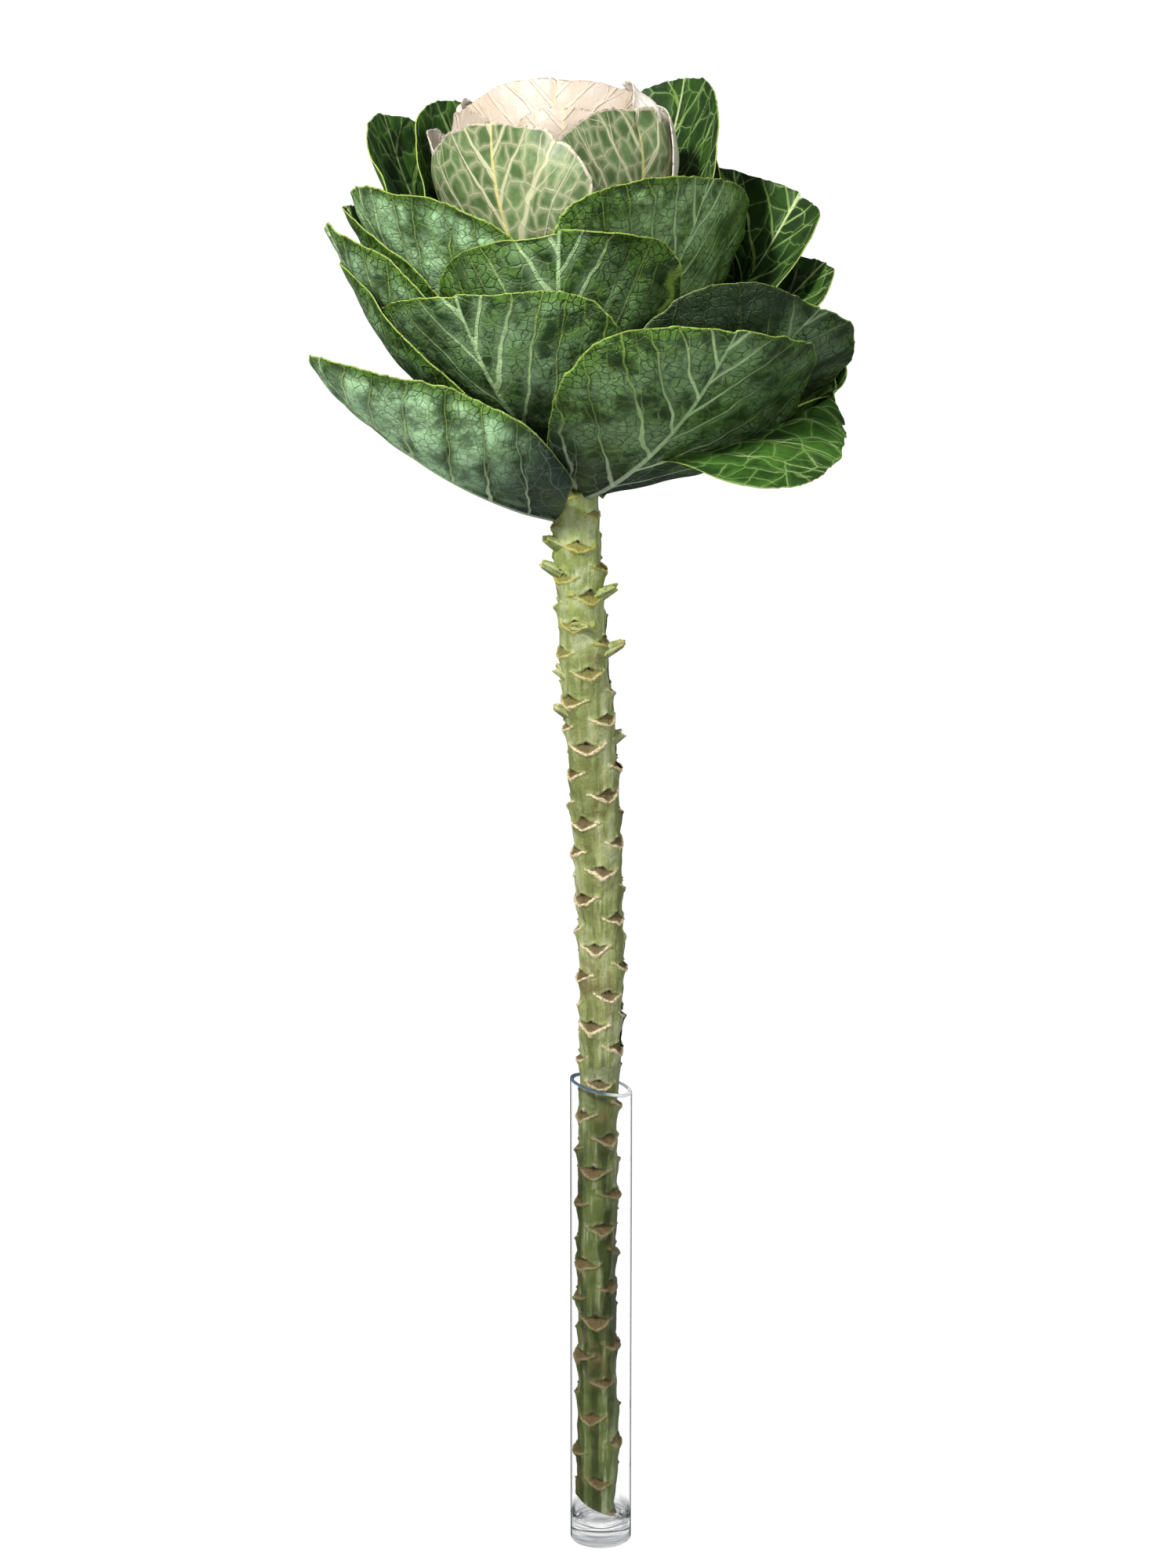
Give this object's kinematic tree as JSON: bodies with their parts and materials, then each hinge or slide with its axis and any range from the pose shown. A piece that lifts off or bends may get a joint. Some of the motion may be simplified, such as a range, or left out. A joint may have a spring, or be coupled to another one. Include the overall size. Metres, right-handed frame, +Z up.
{
  "type": "ornamental cabbage in a vase",
  "caption": "Ornamental cabbage head of layered green leaves round a cream heart, on a long scarred cut stem standing in a clear glass tube vase.",
  "frame": {"origin": "centre of the vase's flat underside, where it rests", "axes": "+Z up along the vase; +Y away from the side the object is seen from; +X to that viewer's right"},
  "size_m": [0.2748, 0.2027, 0.7843],
  "materials": {
    "leaf_green": "satin",
    "leaf_heart": "satin",
    "stem": "satin",
    "vase_glass": "gloss"
  },
  "bodies": {
    "root": {"vase": "vase_glass", "stem": "stem", "leaf_01": "leaf_green", "leaf_02": "leaf_green", "leaf_03": "leaf_green", "leaf_04": "leaf_green", "leaf_05": "leaf_green", "leaf_06": "leaf_green", "leaf_07": "leaf_green", "leaf_08": "leaf_green", "leaf_09": "leaf_green", "leaf_10": "leaf_green", "leaf_11": "leaf_green", "leaf_12": "leaf_green", "leaf_13": "leaf_green", "leaf_14": "leaf_green", "leaf_15": "leaf_green", "leaf_16": "leaf_green", "leaf_17": "leaf_green", "leaf_18": "leaf_green", "leaf_19": "leaf_green", "leaf_20": "leaf_green", "leaf_21": "leaf_green", "leaf_22": "leaf_green", "heart_leaf_01": "leaf_heart", "heart_leaf_02": "leaf_heart", "heart_leaf_03": "leaf_heart", "heart_leaf_04": "leaf_heart", "heart_leaf_05": "leaf_heart", "heart_leaf_06": "leaf_heart", "heart_leaf_07": "leaf_heart", "heart_leaf_08": "leaf_heart", "heart_leaf_09": "leaf_heart", "heart_leaf_10": "leaf_heart", "heart_leaf_11": "leaf_heart", "heart_leaf_12": "leaf_heart", "heart_leaf_13": "leaf_heart"}
  },
  "joints": []
}
